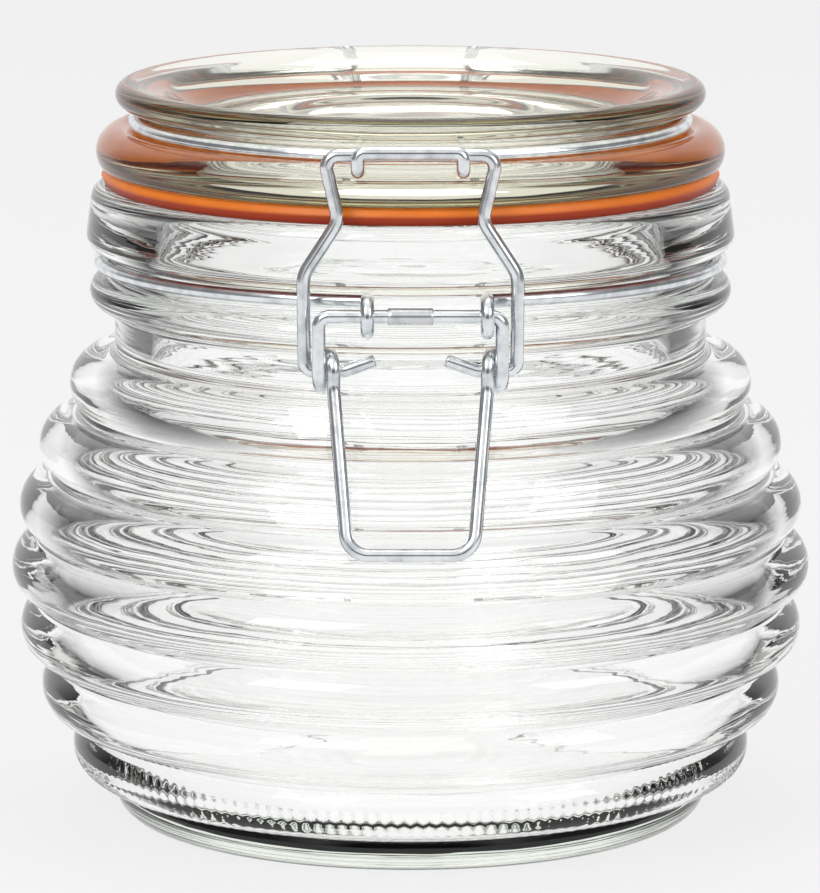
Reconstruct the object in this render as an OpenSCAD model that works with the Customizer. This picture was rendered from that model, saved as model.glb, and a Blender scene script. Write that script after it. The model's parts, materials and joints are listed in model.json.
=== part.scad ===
// Bail clamp jar: a ribbed glass preserving jar, its glass lid and rubber ring,
// and the four bent wires that hinge the lid and clamp it shut.
// Origin at the centre of the base, +Z up, the clamp at the front (-Y), the lid hinge at the back (+Y).

/* [Jar body] */
// Radius over the widest rib
belly_r = 61.8; // [57:0.1:66]
// Number of half-round ribs up the body
rib_count = 7; // [5:2:9]
// Height from the crown of one rib to the crown of the next
rib_pitch = 9.45; // [8.4:0.05:10.5]
// Height of the lowest rib above the table
rib_low_z = 10.2; // [9.6:0.1:12]
// Radius lost from the widest rib to the top and bottom ribs
rib_drop = 9.2; // [7:0.1:11]
// Depth of the grooves between the ribs
groove_depth = 3.4; // [2.4:0.1:4]
// Glass thickness behind the grooves
wall = 3; // [2.2:0.1:4]
// How far the inside swells behind each rib
inner_swell = 1.2; // [0.4:0.1:1.6]
// Thickness of the glass base
base_t = 6; // [4:0.1:8]
// Radius over the foot
foot_r = 46.1; // [43:0.1:47]
// Rounding of the foot
foot_round = 3.75; // [3:0.05:4.5]
// Thickness of the glass round the foot, at the level of the base
foot_wall = 2.9; // [2:0.1:4]

/* [Jar neck and mouth] */
// Radius over the mouth
mouth_r = 49.85; // [46:0.05:54]
// Thickness of the glass at the mouth
mouth_wall = 9.85; // [9:0.05:11]
// How far the bare neck lies in from the mouth
neck_in = 4.25; // [3.9:0.05:5]
// Height from the top rib to the small bead
neck_h = 9.7; // [8.6:0.1:12]
// How far the small bead under the neck wire lies in from the mouth
bead_in = 0.45; // [0.35:0.05:1]
// Rounding of the small bead
bead_round = 2.4; // [2:0.1:2.6]
// Height of the channel that the neck wire lies in
channel_h = 4.1; // [3.9:0.1:5]
// Depth of that channel
channel_depth = 3.25; // [3:0.05:3.3]
// Height of the mouth
mouth_h = 9.8; // [8.6:0.1:12]
// Rounding of the mouth's lower edge
mouth_low_round = 2.2; // [1.6:0.1:2.6]
// Rounding of the mouth's upper edge
mouth_top_round = 2; // [1.4:0.1:2.4]
// How much narrower the mouth is at its upper edge
mouth_taper = 0.75; // [0:0.05:1.2]

/* [Sealing ring] */
// Thickness of the rubber ring
gasket_t = 2.8; // [2:0.1:3.4]
// How far the rubber ring lies in from the edge of the lid's flange
gasket_in = 0.85; // [0.5:0.05:1.6]
// How far its edge stands out as a ridge
gasket_ridge = 0.5; // [0.2:0.1:0.8]
// Gap between the ring's bore and the lid's plug
gasket_plug_gap = 0.6; // [0.3:0.1:1]

/* [Lid] */
// How far the edge of the lid's flange lies in from the mouth
flange_in = 1.55; // [1.45:0.05:2.4]
// Rounding of the flange's edge
flange_round = 3.8; // [3.2:0.1:4]
// Height of the flange
flange_h = 6.1; // [5.4:0.1:6.4]
// How far the rim bead lies in from the flange
rim_in = 3; // [2.6:0.1:3.6]
// Rounding of the rim bead
rim_round = 1.87; // [1.5:0.01:2]
// Height from the flange to the middle of the rim bead
rim_rise = 4.9; // [4.5:0.1:6]
// Width of the border between the dish and the edge of the rim
dish_in = 11.3; // [9.5:0.1:14]
// Depth of the dish below the rim
dish_depth = 4.9; // [3:0.1:6]
// Radius of the sunk middle of the dish
pad_r = 18.6; // [12:0.1:22]
// Depth of the sunk middle
pad_depth = 0.8; // [0.3:0.1:1.5]
// How far the plug reaches down into the bore
plug_h = 4; // [2.5:0.1:5]
// Radial gap between the plug and the bore
plug_gap = 1.8; // [1.2:0.1:2.4]
// Wall of the plug
plug_wall = 5; // [3.5:0.1:6]
// Glass left over the hollow of the plug
crown_t = 5.6; // [4:0.1:7]

/* [Wire] */
// Diameter of the spring wire
wire_d = 2; // [1.8:0.05:2.1]
// Clearance of a wire in its groove or round its pin
wire_gap = 0.1; // [0.05:0.01:0.12]
// How far the middle of the lid wire lies in from the rim bead
lid_ring_in = 3; // [2.7:0.1:3.3]
// Tilt of the neck wire, which the clamp pulls up in front
neck_tilt = 1.05; // [0:0.05:1.1]

/* [Rear hinge] */
// How far the hinge bar lies out past the mouth
hinge_out = 4.65; // [4.2:0.05:7]
// Height of the hinge bar below the gasket
hinge_drop = 1.75; // [1:0.05:3]
// Half the width of the hinge bar
hinge_half = 13; // [12.4:0.1:15]
// Place of the lid wire's two curls along the bar
curl_x = 9.8; // [8:0.1:10]

/* [Clamp] */
// How far the lever's pivot lies out past the mouth
pivot_out = 3.15; // [3.05:0.05:4]
// Height of the pivot below the mouth's lower edge
pivot_drop = 2.5; // [2:0.05:3]
// Radius of the middle of the eyes that hold the lever
eye_round = 2.35; // [2.2:0.05:2.45]
// Place of the left eye across the front
eye_left_x = -6.3; // [-9:0.1:-5]
// Place of the right eye across the front
eye_right_x = 11.2; // [5:0.1:11.3]
// How far the bail's pins lie out past the small bead
pin_out = 0.8; // [0.65:0.05:1.6]
// Height of the pins below the pivot
pin_drop = 8.5; // [8:0.1:9.5]
// How far the bail's crossbar lies out past the lid's flange
hook_out = 0.7; // [0.6:0.05:1.3]
// Height of the crossbar above the lid's flange
hook_rise = 1.9; // [1.8:0.05:2.3]
// Half the width of the hook over the crossbar
hook_half = 7.7; // [6.5:0.1:9]
// Half the width of the crossbar
bail_top_half = 12.7; // [12:0.1:14]
// Half the width of the bail's waist
bail_waist_half = 10.5; // [10:0.1:13]
// Height of the waist below the crossbar
bail_waist_drop = 9.6; // [8:0.1:11]
// Half the width where the bail flares out
bail_flare_half = 15.7; // [15:0.1:18]
// Height of the flare below the crossbar
bail_flare_drop = 17.6; // [16:0.1:20]
// Free end of each pin, from the middle of the clamp
stub_end_x = 5.2; // [3:0.1:7]
// Rise of each pin's free end
stub_rise = 1.6; // [0:0.1:2]
// Half the width over the lever's arms, at the middle of the wire
arm_half = 13.4; // [13.3:0.1:15]
// Radius of the middle of the lever's coils
coil_round = 2.5; // [2.2:0.05:2.6]
// Height of the handle below the pins
handle_drop = 25.3; // [20:0.1:27]
// How far the foot of the handle lies in from the widest rib
handle_in = 0.4; // [-3:0.1:0.6]
// Half the width of the handle at its foot
handle_foot_half = 9.2; // [8:0.1:11]
// Rounding of the handle's corners
handle_corner = 3.4; // [2:0.1:5]
// Length of the sleeve that joins the wire's two ends
sleeve_l = 6.6; // [4:0.1:8]
// Wall of the sleeve
sleeve_wall = 0.2; // [0.1:0.05:0.25]
// Gap between the sleeve and the wire in it
sleeve_gap = 0.03; // [0.02:0.01:0.06]
// Gap between the two ends of the wire inside the sleeve
butt_gap = 0.2; // [0.1:0.1:1]

/* [Hidden] */
$fn = 64;
wire_r = wire_d / 2;
lap = 0.005;                           // how far a straight run goes into a bend
coil_join = 0.1;                       // half the straight piece between the coil's half turns
bend_wire_r = wire_r + 0.02;           // a bend is a hair thicker than a straight run
seat_gap = 0.05;                       // between the rubber ring and the mouth
rib_taper_power = 1.8;                 // how the ribs step in from the belly
glass_clear = [0.86, 0.9, 0.89, 0.35];
glass_tinted = [0.62, 0.64, 0.5, 0.45];

// Radii, from the mouth inwards
bore_r = mouth_r - mouth_wall;
neck_r = mouth_r - neck_in;
bead_r = mouth_r - bead_in;
channel_r = mouth_r - channel_depth;
neck_ring_r = channel_r + wire_r + wire_gap;
flange_r = mouth_r - flange_in;
gasket_r = flange_r - gasket_in;
rim_r = flange_r - rim_in;
dish_r = rim_r - dish_in;
lid_ring_r = rim_r - lid_ring_in;

// Jar levels, from the table up
rib_round = rib_pitch / 2 + 0.08;
mid_rib = (rib_count - 1) / 2;
function rib_z(i) = rib_low_z + i * rib_pitch;
function rib_r(i) = belly_r - rib_drop * pow(abs(i - mid_rib) / mid_rib, rib_taper_power);
function inner_r(i) = rib_r(i) - groove_depth - wall;
inner_round = (rib_pitch * rib_pitch / 4 + inner_swell * inner_swell) / (2 * inner_swell);
shoulder_z = rib_z(rib_count - 1) + rib_round;
bead_z = shoulder_z + neck_h;
channel_z = bead_z + bead_round;
mouth_z = channel_z + channel_h;
mouth_top = mouth_z + mouth_h;

// Lid levels
gasket_z = mouth_top + seat_gap;
seat_z = gasket_z + gasket_t;
flange_top = seat_z + flange_h;
flange_mid = flange_top - flange_round;
rim_z = flange_top + rim_rise;
lid_top = rim_z + rim_round;
dish_z = lid_top - dish_depth;
lid_wire_z = flange_top + 0.7 * wire_r;        // sunk a little into the flange
lid_channel_r = lid_ring_r - wire_r - wire_gap;
lid_channel_w = 1.25 * wire_d;
lid_wire_over = flange_top + bend_wire_r + wire_gap;   // where it passes over the flange
plug_r = bore_r - plug_gap;
plug_z = seat_z - plug_h - gasket_t / 4;

// Clamp and hinge centres, as [y, z]
neck_wire_z = mouth_z - 2.1 * wire_r;
pivot = [-mouth_r - pivot_out, mouth_z - pivot_drop];
pin = [-bead_r - pin_out, pivot[1] - pin_drop];
crossbar = [-flange_r - hook_out, flange_top + hook_rise];
hinge = [mouth_r + hinge_out, gasket_z - hinge_drop];
curl_round = 2 * wire_r + wire_gap;
wire_step = 2.15 * wire_r;                         // sideways from one turn of the coil to the next
ring_run = 3.6 * wire_r;                           // along the lid's ring to where its wire turns off
neck_run = 2.6 * wire_r;                           // the same for the neck wire
tight_bend = 1.1 * wire_r;                         // the smallest bend that the wire takes
coil_slant = atan2(wire_step / 2, 2 * coil_round);
leg_half = arm_half + wire_step;
handle_half = arm_half - wire_step;

// Turns a point of the flat neck wire by its tilt
function tilted(p) = [
    p[0],
    p[1] * cos(neck_tilt) + (p[2] - neck_wire_z) * sin(neck_tilt),
    neck_wire_z - p[1] * sin(neck_tilt) + (p[2] - neck_wire_z) * cos(neck_tilt)
];
function ring_y(ring_radius, x) = sqrt(ring_radius * ring_radius - x * x);
function unit(v) = v / norm(v);
function swing(p) = [0, acos(p[2]), atan2(p[1], p[0])];

// Straight run of wire between two points, lapping a little way into the bends it meets
module straight(a, b, from_lap = lap, to_lap = lap) {
    u = unit(b - a);
    translate(a - u * from_lap) rotate(swing(u))
        cylinder(h = norm(b - a) + from_lap + to_lap, r = wire_r);
}

// Length that a bend takes off each run that meets at its corner
function cut(before, corner, after, bend_r) =
    bend_r / tan(acos(unit(before - corner) * unit(after - corner)) / 2);

// Arc of wire that rounds a corner
module bend(before, corner, after, bend_r) {
    u = unit(before - corner);
    v = unit(after - corner);
    open_angle = acos(u * v);
    start = corner + u * bend_r / tan(open_angle / 2);
    centre = corner + unit(u + v) * bend_r / sin(open_angle / 2);
    tip = swing(unit(cross(v, u)));
    e1 = [cos(tip[1]) * cos(tip[2]), cos(tip[1]) * sin(tip[2]), -sin(tip[1])];
    e2 = [-sin(tip[2]), cos(tip[2]), 0];
    out = unit(start - centre);
    translate(centre) rotate(tip) rotate([0, 0, atan2(out * e2, out * e1)])
        rotate_extrude(angle = 180 - open_angle) translate([bend_r, 0]) circle(bend_wire_r);
}

// Wire along a list of points, each inner corner rounded to its own radius
module bent_wire(points, rounds, from_lap = lap, to_lap = lap) {
    last = len(points) - 1;
    for (i = [0:last - 1]) {
        a = points[i];
        b = points[i + 1];
        u = unit(b - a);
        start = i == 0 ? a : a + u * cut(points[i - 1], a, b, rounds[i - 1]);
        end = i == last - 1 ? b : b - u * cut(a, b, points[i + 2], rounds[i]);
        straight(start, end, i == 0 ? from_lap : lap, i == last - 1 ? to_lap : lap);
    }
    for (i = [1:last - 1]) bend(points[i - 1], points[i], points[i + 1], rounds[i - 1]);
}

// A half list of points and its mirror image as one list, from the left end to the right
function flipped(points) = [for (i = [len(points) - 1:-1:0]) [-points[i][0], points[i][1], points[i][2]]];
function backwards(list) = [for (i = [len(list) - 1:-1:0]) list[i]];
function across(half) = concat(flipped(half), half);

// Part of a level ring of wire, between two angles from +X
module ring_arc(ring_radius, from, to) {
    rotate([0, 0, from]) rotate_extrude(angle = to - from)
        translate([ring_radius, 0]) circle(bend_wire_r);
}

// Point on a level ring, and the one that the wire reaches by running straight on from it
function ring_point(ring_radius, x, side, z) = [x, side * ring_y(ring_radius, x), z];
function run_on(ring_radius, x, to_x, side, z) =
    ring_point(ring_radius, x, side, z)
    + [to_x - x, -side * x * (to_x - x) / ring_y(ring_radius, x), 0];

// Arc of wire round a bar that runs along X, from an angle above +Y
module curl(centre, loop_r, x, from, turn) {
    translate([x, centre[0], centre[1]]) rotate([90, 0, 90]) rotate([0, 0, from])
        rotate_extrude(angle = turn) translate([loop_r, 0]) circle(bend_wire_r);
}

module both_sides() {
    children();
    mirror([1, 0, 0]) children();
}

module jar_outline() {
    core_r = [for (i = [0:rib_count - 1]) rib_r(i) - groove_depth];
    intersection() {
        union() {
            translate([foot_r - foot_round, foot_round - 0.45]) circle(foot_round);
            polygon(concat(
                [[0, 0], [foot_r - foot_round, 0], [foot_r - 1, rib_low_z - rib_round]],
                [for (i = [0:rib_count - 1]) [core_r[i], rib_z(i)]],
                [[neck_r, shoulder_z - 1], [neck_r, bead_z], [0, bead_z]]));
            for (i = [0:rib_count - 1])
                translate([rib_r(i) - rib_round, rib_z(i)]) circle(rib_round);
            translate([bead_r - bead_round, bead_z]) circle(bead_round);
            translate([0, bead_z - 1]) square([channel_r, mouth_z - bead_z + 2]);
            translate([mouth_r - mouth_low_round, mouth_z + mouth_low_round]) circle(mouth_low_round);
            translate([mouth_r - mouth_taper - mouth_top_round, mouth_top - mouth_top_round])
                circle(mouth_top_round);
            polygon([
                [0, mouth_z], [mouth_r - mouth_low_round, mouth_z],
                [mouth_r, mouth_z + mouth_low_round],
                [mouth_r - mouth_taper, mouth_top - mouth_top_round],
                [mouth_r - mouth_taper - mouth_top_round, mouth_top], [0, mouth_top]]);
        }
        square([belly_r + 5, mouth_top]);
    }
}

module jar_hollow() {
    bore_z = shoulder_z + 1;
    intersection() {
        union() {
            polygon(concat(
                [[0, base_t - 1], [foot_r - foot_wall, base_t - 1]],
                [for (i = [0:rib_count - 1]) [inner_r(i), rib_z(i)]],
                [[bore_r, bore_z], [bore_r, mouth_top + 1], [0, mouth_top + 1]]));
            for (i = [0:rib_count - 2])
                translate([inner_r(i) + inner_swell - inner_round, rib_z(i)]) circle(inner_round);
        }
        translate([0, base_t]) square([belly_r, mouth_top]);
    }
}

module jar() {
    color(glass_clear) rotate_extrude($fn = 128) difference() {
        jar_outline();
        jar_hollow();
    }
}

module lid_outline() {
    flange_middle = flange_r - flange_round;
    difference() {
        union() {
            intersection() {
                translate([flange_middle, flange_mid]) circle(flange_round);
                translate([0, seat_z]) square([flange_r + 1, flange_h]);
            }
            translate([0, seat_z]) square([flange_middle, flange_h]);
            translate([0, plug_z]) square([plug_r, seat_z - plug_z + 1]);
            translate([0, flange_top - 1]) square([lid_channel_r, rim_z - flange_top + 1]);
            translate([rim_r - rim_round, rim_z]) circle(rim_round);
            translate([0, rim_z - rim_round]) square([rim_r - rim_round, 2 * rim_round]);
        }
        translate([lid_channel_r, lid_wire_z - wire_r - wire_gap]) square([lid_channel_w, wire_d]);
        polygon([[0, dish_z], [dish_r, dish_z], [rim_r - 2.4 * rim_round, lid_top],
                 [rim_r - 2.4 * rim_round, lid_top + 1], [0, lid_top + 1]]);
        translate([0, dish_z - pad_depth]) square([pad_r, pad_depth + 1]);
        translate([0, plug_z - 1])
            square([plug_r - plug_wall, dish_z - pad_depth - crown_t - plug_z + 1]);
    }
}

module lid() {
    color(glass_tinted) rotate_extrude($fn = 128) intersection() {
        lid_outline();
        translate([0, plug_z]) square([flange_r + 1, lid_top - plug_z]);
    }
}

module gasket() {
    bore = plug_r + gasket_plug_gap;
    edge = gasket_r - gasket_ridge;
    color([0.93, 0.42, 0.08]) rotate_extrude($fn = 128) polygon([
        [bore, gasket_z], [edge, gasket_z], [gasket_r, gasket_z + gasket_t / 2],
        [edge, seat_z], [bore, seat_z]]);
}

// Lid wire: the hook in front, the ring round the lid and a curl behind at each side
module lid_wire() {
    front_x = hook_half + ring_run;
    back_x = curl_x + ring_run;
    ring = lid_ring_r;
    bar_y = crossbar[0] - 2.15 * wire_r;
    bar_z = crossbar[1] + 0.6 * wire_r;
    dip_z = crossbar[1] - 2.5 * wire_r;
    leg_y = hinge[0] - curl_round;
    hook = [
        [hook_half, bar_y, bar_z],
        [hook_half, bar_y, dip_z + wire_r / 2],
        [hook_half, crossbar[0] + 0.3 * wire_r, dip_z],
        [hook_half, crossbar[0] + 2.4 * wire_r, lid_wire_over],
        run_on(ring, front_x, hook_half, -1, lid_wire_over),
        run_on(ring, front_x, front_x - tight_bend, -1, lid_wire_z),
        ring_point(ring, front_x, -1, lid_wire_z)];
    rounds = [tight_bend, tight_bend, tight_bend, 1.2 * wire_r, 1.5 * wire_r, 4 * wire_r];
    color("silver") {
        bent_wire(across(hook), concat(backwards(rounds), rounds));
        both_sides() {
            translate([0, 0, lid_wire_z]) ring_arc(ring,
                -atan2(ring_y(ring, front_x), front_x), atan2(ring_y(ring, back_x), back_x));
            bent_wire([
                ring_point(ring, back_x, 1, lid_wire_z),
                run_on(ring, back_x, back_x - tight_bend, 1, lid_wire_z),
                run_on(ring, back_x, curl_x, 1, lid_wire_over),
                [curl_x, leg_y - 3 * wire_r, lid_wire_over],
                [curl_x, leg_y, flange_mid],
                [curl_x, leg_y, hinge[1]]], [4 * wire_r, 1.5 * wire_r, 1.6 * wire_r, 2 * wire_r]);
            curl(hinge, curl_round, curl_x, 180, 265);
        }
    }
}

// End of the neck wire: from the channel out and round the lever's crossbar
module neck_end(x) {
    from_x = x + sign(x) * neck_run;
    top = pivot[1] + eye_round;
    bent_wire([
        tilted(ring_point(neck_ring_r, from_x, -1, neck_wire_z)),
        tilted(run_on(neck_ring_r, from_x, x, -1, neck_wire_z)),
        [x, pivot[0] + 1.6 * wire_r, top],
        [x, pivot[0], top]], [1.2 * wire_r, 3 * wire_r]);
    curl(pivot, eye_round, x, 90, 250);
}

module neck_wire() {
    left_x = eye_left_x - neck_run;
    right_x = eye_right_x + neck_run;
    back_x = hinge_half + neck_run;
    back_z = tilted([0, neck_ring_r, neck_wire_z])[2];
    knee = [hinge_half, hinge[0] - 2.5 * wire_r, back_z + 0.3 * wire_r];
    turn_right = -atan2(ring_y(neck_ring_r, right_x), right_x);
    turn_left = 360 - atan2(ring_y(neck_ring_r, left_x), left_x);
    turn_back = atan2(ring_y(neck_ring_r, back_x), back_x);
    rear = [
        [hinge_half, hinge[0], hinge[1]],
        knee,
        tilted(run_on(neck_ring_r, back_x, hinge_half, 1, neck_wire_z)),
        tilted(ring_point(neck_ring_r, back_x, 1, neck_wire_z))];
    rounds = [1.3 * wire_r, 1.6 * wire_r, 1.6 * wire_r];
    color("silver") {
        translate([0, 0, neck_wire_z]) rotate([-neck_tilt, 0, 0]) {
            ring_arc(neck_ring_r, turn_right, turn_back);
            ring_arc(neck_ring_r, 180 - turn_back, turn_left);
        }
        neck_end(eye_left_x);
        neck_end(eye_right_x);
        bent_wire(across(rear), concat(backwards(rounds), rounds));
    }
}

module bail() {
    waist_z = crossbar[1] - bail_waist_drop;
    flare_z = crossbar[1] - bail_flare_drop;
    lean = (pin[0] - crossbar[0]) / (crossbar[1] - pin[1]);
    stub_bend_x = handle_half - 1.6 * wire_r;
    side = [
        [bail_top_half, crossbar[0], crossbar[1]],
        [bail_waist_half, crossbar[0] + lean * bail_waist_drop, waist_z],
        [bail_flare_half, crossbar[0] + lean * bail_flare_drop, flare_z],
        [leg_half, pin[0], pin[1]],
        [stub_bend_x, pin[0], pin[1]],
        [stub_end_x, pin[0], pin[1] + stub_rise]];
    rounds = [1.4 * wire_r, 3 * wire_r, 3 * wire_r, 1.4 * wire_r, 1.6 * wire_r];
    color("silver") bent_wire(across(side), concat(backwards(rounds), rounds), 0, 0);
}

// Half turn of the lever's coil, slanting so that the wire moves half a step sideways
module half_turn(x, z, slant, from) {
    translate([x, pin[0], z]) rotate([0, 0, slant]) rotate([90, 0, 90]) rotate([0, 0, from])
        rotate_extrude(angle = 180) translate([norm([coil_round, wire_step / 4]), 0])
            circle(bend_wire_r);
}

module lever() {
    front_y = pin[0] - coil_round;
    foot_y = handle_in - belly_r;
    foot_z = pin[1] - handle_drop;
    behind = [arm_half - wire_step / 2, pin[0] + coil_round, pin[1]];
    handle = [
        [handle_foot_half, foot_y, foot_z],
        [handle_half, front_y, pin[1] - 2.2 * wire_r],
        [handle_half, front_y, pin[1] + coil_join]];
    rounds = [handle_corner, 4 * wire_r];
    color("gainsboro") {
        both_sides() {
            // the arm, from the butt inside the sleeve to the front of the coil
            bent_wire([
                [butt_gap / 2, pivot[0], pivot[1]],
                [arm_half, pivot[0], pivot[1]],
                [arm_half, front_y, pin[1] + coil_round],
                [arm_half, front_y, pin[1] - coil_join]], [1.6 * wire_r, 3 * wire_r], from_lap = 0);
            // the coil: under the pin, up behind it, then back over it
            half_turn(arm_half - wire_step / 4, pin[1] - coil_join, coil_slant, 180);
            straight(behind - [0, 0, coil_join], behind + [0, 0, coil_join]);
            half_turn(arm_half - 3 * wire_step / 4, pin[1] + coil_join, -coil_slant, 0);
        }
        bent_wire(across(handle), concat(backwards(rounds), rounds));
    }
}

module lever_sleeve() {
    bore = wire_r + sleeve_gap;
    color("lightgray") translate([-sleeve_l / 2, pivot[0], pivot[1]]) rotate([0, 90, 0])
        difference() {
            cylinder(h = sleeve_l, r = bore + sleeve_wall);
            translate([0, 0, -1]) cylinder(h = sleeve_l + 2, r = bore);
        }
}

jar();
lid();
gasket();
lid_wire();
neck_wire();
bail();
lever();
lever_sleeve();
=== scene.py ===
"""Bail clamp jar: pressed glass, a rubber ring and bright plated wire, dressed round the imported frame.

Front is -Y, up is +Z, sizes in the classes are millimetres and meshes are metres.
"""

import json
import logging
import math
from dataclasses import dataclass, field
from enum import Enum

import bmesh
import bpy
from mathutils import Matrix, Vector, noise


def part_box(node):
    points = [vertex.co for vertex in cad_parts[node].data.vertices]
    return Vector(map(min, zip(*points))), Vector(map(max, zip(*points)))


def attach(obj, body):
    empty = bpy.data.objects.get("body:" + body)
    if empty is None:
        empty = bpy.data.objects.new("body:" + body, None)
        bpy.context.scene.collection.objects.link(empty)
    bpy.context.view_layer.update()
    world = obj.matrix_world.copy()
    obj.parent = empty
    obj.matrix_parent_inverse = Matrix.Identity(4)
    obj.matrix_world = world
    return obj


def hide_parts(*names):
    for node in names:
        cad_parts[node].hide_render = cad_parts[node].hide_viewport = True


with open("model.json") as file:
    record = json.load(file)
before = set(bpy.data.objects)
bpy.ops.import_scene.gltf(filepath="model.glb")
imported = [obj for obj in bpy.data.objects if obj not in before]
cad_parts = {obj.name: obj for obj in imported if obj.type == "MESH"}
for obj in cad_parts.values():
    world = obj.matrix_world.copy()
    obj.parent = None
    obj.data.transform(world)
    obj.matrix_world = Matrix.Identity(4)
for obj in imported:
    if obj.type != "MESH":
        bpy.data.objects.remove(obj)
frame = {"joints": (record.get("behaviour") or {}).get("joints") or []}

logging.basicConfig(level=logging.INFO, format="%(message)s")
LOG = logging.getLogger("jar")
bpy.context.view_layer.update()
MM = 0.001


class Body(Enum):
    """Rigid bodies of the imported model."""

    JAR = "jar"
    LID = "lid"
    LEVER = "lever"
    BAIL = "bail"


def linear(code: str) -> tuple[float, float, float, float]:
    """Turn an sRGB hex colour to linear.

    Args:
        code: six hex digits, with or without a hash.

    Returns:
        Linear red, green and blue, with an alpha of 1.
    """
    values = [int(code.lstrip("#")[i : i + 2], 16) / 255 for i in (0, 2, 4)]
    bent = [v / 12.92 if v <= 0.04045 else ((v + 0.055) / 1.055) ** 2.4 for v in values]
    return (*bent, 1.0)


def add_node(tree: bpy.types.NodeTree, kind: str, links: dict | None = None, **settings) -> bpy.types.Node:
    """Add a node with its settings and links.

    Args:
        tree: the node tree.
        kind: the node's type name.
        links: input name or index to a value or an output socket.
        settings: properties of the node itself.

    Returns:
        The new node.
    """
    node = tree.nodes.new(kind)
    for name, value in settings.items():
        setattr(node, name, value)
    for key, value in (links or {}).items():
        if isinstance(value, bpy.types.NodeSocket):
            tree.links.new(value, node.inputs[key])
        else:
            node.inputs[key].default_value = value
    return node


@dataclass(frozen=True)
class PressedGlass:
    """Soda-lime glass, pressed in a mould: clear, fire-polished, with a faint ripple."""

    name: str
    tint: str
    absorbed: str
    density_per_m: float
    ripple_mm: float = 14.0
    ripple_strength: float = 0.05
    wave_long_mm: float = 22.0
    wave_high_mm: float = 1.6
    wave_strength: float = 0.10
    ior: float = 1.52
    roughness: float = 0.0

    def build(self) -> bpy.types.Material:
        """Make the material: a glass surface with a ripple and a tint that grows with thickness."""
        material = bpy.data.materials.new(self.name)
        material.use_nodes = True
        tree = material.node_tree
        tree.nodes.clear()
        place = add_node(tree, "ShaderNodeTexCoord")
        # the mould's ripple is a few millimetres across and flatter than it is long
        stretch = add_node(tree, "ShaderNodeMapping", {"Vector": place.outputs["Object"], "Scale": (1.0, 1.0, 1.8)})
        ripple = add_node(tree, "ShaderNodeTexNoise", {
            "Vector": stretch.outputs[0], "Scale": 1 / (self.ripple_mm * MM), "Detail": 1.5, "Roughness": 0.45})
        # chill marks of the mould: thin level waves, many times longer than they are high
        level = add_node(tree, "ShaderNodeMapping", {
            "Vector": place.outputs["Object"], "Scale": (1.0, 1.0, self.wave_long_mm / self.wave_high_mm)})
        waves = add_node(tree, "ShaderNodeTexNoise", {
            "Vector": level.outputs[0], "Scale": 1 / (self.wave_long_mm * MM), "Detail": 2.0, "Roughness": 0.5})
        wide = add_node(tree, "ShaderNodeBump", {
            "Height": ripple.outputs["Fac"], "Strength": self.ripple_strength, "Distance": 1.0 * MM})
        bump = add_node(tree, "ShaderNodeBump", {
            "Height": waves.outputs["Fac"], "Strength": self.wave_strength, "Distance": 0.3 * MM,
            "Normal": wide.outputs[0]})
        surface = add_node(tree, "ShaderNodeBsdfPrincipled", {
            "Base Color": linear(self.tint), "Roughness": self.roughness, "IOR": self.ior,
            "Transmission Weight": 1.0, "Normal": bump.outputs[0]})
        inside = add_node(tree, "ShaderNodeVolumeAbsorption", {
            "Color": linear(self.absorbed), "Density": self.density_per_m})
        add_node(tree, "ShaderNodeOutputMaterial", {"Surface": surface.outputs[0], "Volume": inside.outputs[0]})
        return material


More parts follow.
